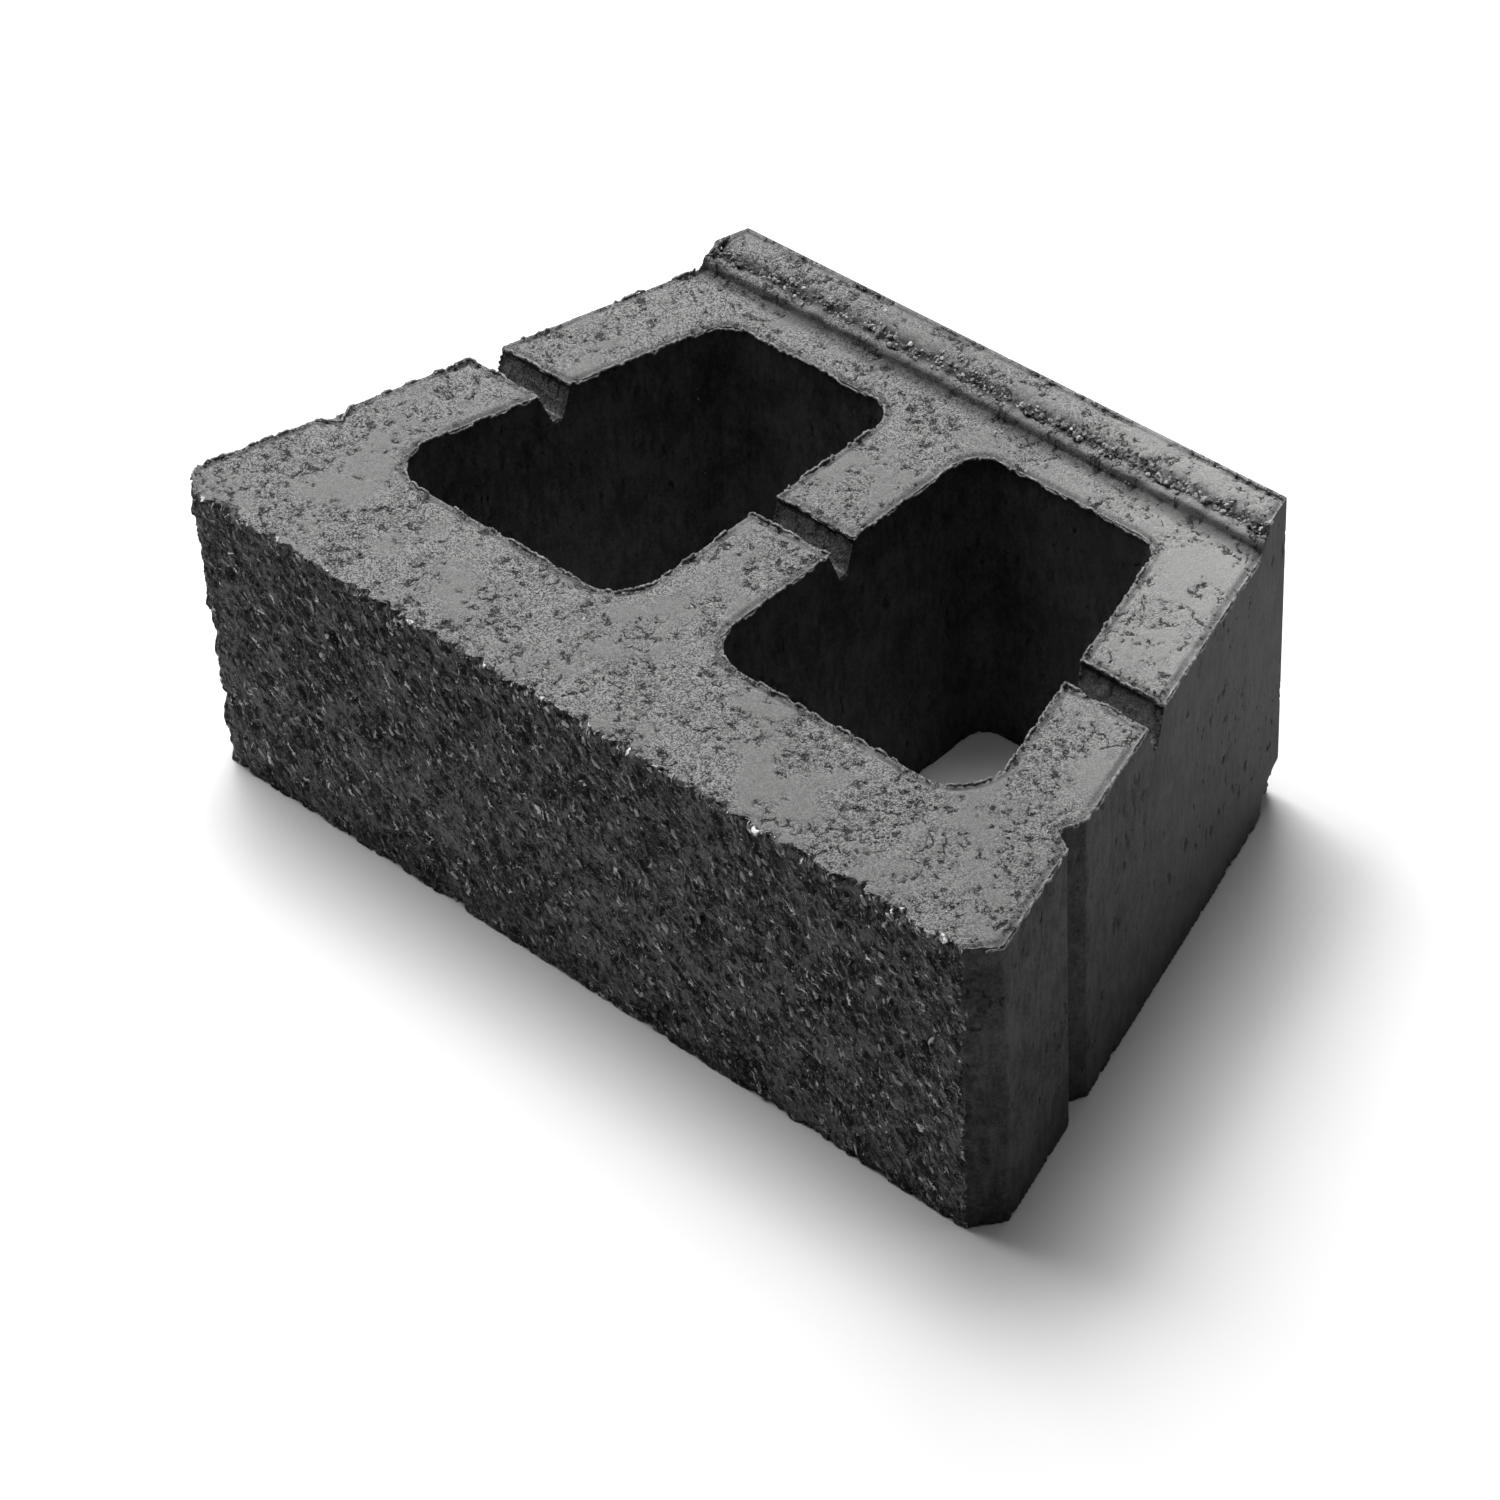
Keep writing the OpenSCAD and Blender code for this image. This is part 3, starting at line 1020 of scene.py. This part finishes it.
def scattered(name, zone, shape, **sizes):
    """A piece of lumps scattered on the skin."""
    inputs = {key.capitalize(): value for key, value in sizes.items()}
    holder = shown("holder", skin.data)
    put_modifier(holder, scatter_tree(name, zone, shape, inputs), inputs)
    piece = shown(name, grown(holder, name))
    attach(piece, "root")
    print(name + ":", len(piece.data.polygons), "faces")


def lip_edge(tree):
    """High along the lip's front edge."""
    y = axes_of(position(tree))[1]
    return stored(tree, "lip") * y.step(shoulder_y + 6 * MM, shoulder_y + 13 * MM, 1.0, 0.0)


def open_patch(tree):
    """High in the open patches of the top."""
    return stored(tree, "top") * stored(tree, "patch") * 0.8


def split_zone(tree):
    """High on the split front."""
    return stored(tree, "front") * 1.0


ANY_WAY = {
    "turn_low": (0.0, 0.0, 0.0),
    "turn_high": (6.28, 6.28, 6.28),
    "stretch": (1.0, 0.8, 0.65),
}
TORN = {
    "turn_low": (-0.3, TEAR - 0.5, -0.2),
    "turn_high": (0.3, TEAR + 0.5, 0.2),
    "stretch": (1.0, 0.3, 0.36),
}
GROUT = FINISH["pale_grout"]
scattered("lip_crumbs", lip_edge, ANY_WAY,
          density=1.8e5, smallest=0.7 * MM, largest=3.8 * MM, seed=7, finish=GROUT)
scattered("top_crumbs", open_patch, ANY_WAY,
          density=3.0e4, smallest=0.6 * MM, largest=2.4 * MM, seed=8, finish=GROUT)
scattered("split_chips", split_zone, TORN,
          density=3.2e4, smallest=1.4 * MM, largest=6.0 * MM, seed=9, finish=GROUT)

# %% [markdown]
# ## The studio
#
# A plain pale floor, two soft lights high behind the left end, a lower one beside them, two weak ones
# overhead and from behind the right end, and a camera with a long lens that looks down on the front right
# corner. The world is white where the camera sees it, and adds almost no light, so the hollows stay dark.

# %% Floor, light and camera
HALF_FLOOR = 6.0      # half the side of the floor, in metres
LIGHT_DISTANCE = 2.0  # from the middle of the bed to each light
LIGHT_SIDE = 1.0      # the side of each square light


def studio_floor():
    mesh = bpy.data.meshes.new("floor")
    corners = [(x * HALF_FLOOR, y * HALF_FLOOR, bed_z) for x, y in ((-1, -1), (1, -1), (1, 1), (-1, 1))]
    mesh.from_pydata(corners, [], [(0, 1, 2, 3)])
    material, _, shader, _ = new_finish("floor_paint", 0.9)
    shader.inputs["Base Color"].default_value = (0.9, 0.9, 0.9, 1.0)
    shader.inputs["Specular IOR Level"].default_value = 0.0
    mesh.materials.append(material)
    return shown("floor", mesh)


def soft_light(name, bearing, height, power):
    """A square light that faces the block from a bearing (from +X towards +Y) and a height, in degrees."""
    lamp = bpy.data.lights.new(name, "AREA")
    lamp.shape = "SQUARE"
    lamp.size = LIGHT_SIDE
    lamp.energy = power
    thing = bpy.data.objects.new(name, lamp)
    turn, rise = math.radians(bearing), math.radians(height)
    way = Vector((math.cos(rise) * math.cos(turn), math.cos(rise) * math.sin(turn), math.sin(rise)))
    thing.location = way * LIGHT_DISTANCE
    thing.rotation_euler = way.to_track_quat("Z", "Y").to_euler()
    bpy.context.scene.collection.objects.link(thing)


def studio_camera(aim, azimuth, elevation, roll, distance, lens):
    """A camera that looks at a point from a bearing and a height, tipped a little to one side."""
    turn, rise, tip = (math.radians(angle) for angle in (azimuth, elevation, roll))
    back = Vector((math.sin(turn) * math.cos(rise), -math.cos(turn) * math.cos(rise), math.sin(rise)))
    right = Vector((0, 0, 1)).cross(back).normalized()
    up = back.cross(right)
    side = math.cos(tip) * right + math.sin(tip) * up
    head = math.cos(tip) * up - math.sin(tip) * right
    data = bpy.data.cameras.new("camera")
    data.lens = lens
    data.sensor_width = 36.0
    thing = bpy.data.objects.new("camera", data)
    thing.matrix_world = Matrix((side, head, back)).transposed().to_4x4()
    thing.location = Vector(aim) + distance * back
    bpy.context.scene.collection.objects.link(thing)
    bpy.context.scene.camera = thing


def white_world(glow):
    """A world that the camera sees as white and that lights the scene only a little."""
    world = bpy.data.worlds.new("studio")
    world.use_nodes = True
    tree = world.node_tree
    seen = Wire(tree.nodes.new("ShaderNodeLightPath").outputs["Is Camera Ray"])
    background = tree.nodes["Background"]
    background.inputs["Color"].default_value = (1.0, 1.0, 1.0, 1.0)
    fill(tree, background.inputs["Strength"], seen.maths("MAXIMUM", seen, glow))
    bpy.context.scene.world = world


studio_floor()
soft_light("window_left", bearing=180, height=64, power=27)
soft_light("window_right", bearing=135, height=70, power=29)
soft_light("low_window", bearing=135, height=40, power=10)
soft_light("overhead", bearing=0, height=88, power=3.6)
soft_light("fill", bearing=35, height=45, power=2)
aim = (0.0181, -0.0464, 0.0762)
studio_camera(aim, azimuth=45.74, elevation=41.52, roll=-3.92, distance=1.909, lens=109.7)
white_world(glow=0.03)
bpy.context.scene.view_settings.view_transform = "Standard"
print("five soft lights and a long lens")

# %% Clear the helpers
for helper in [skin, *wires.values()]:
    bpy.data.objects.remove(helper)
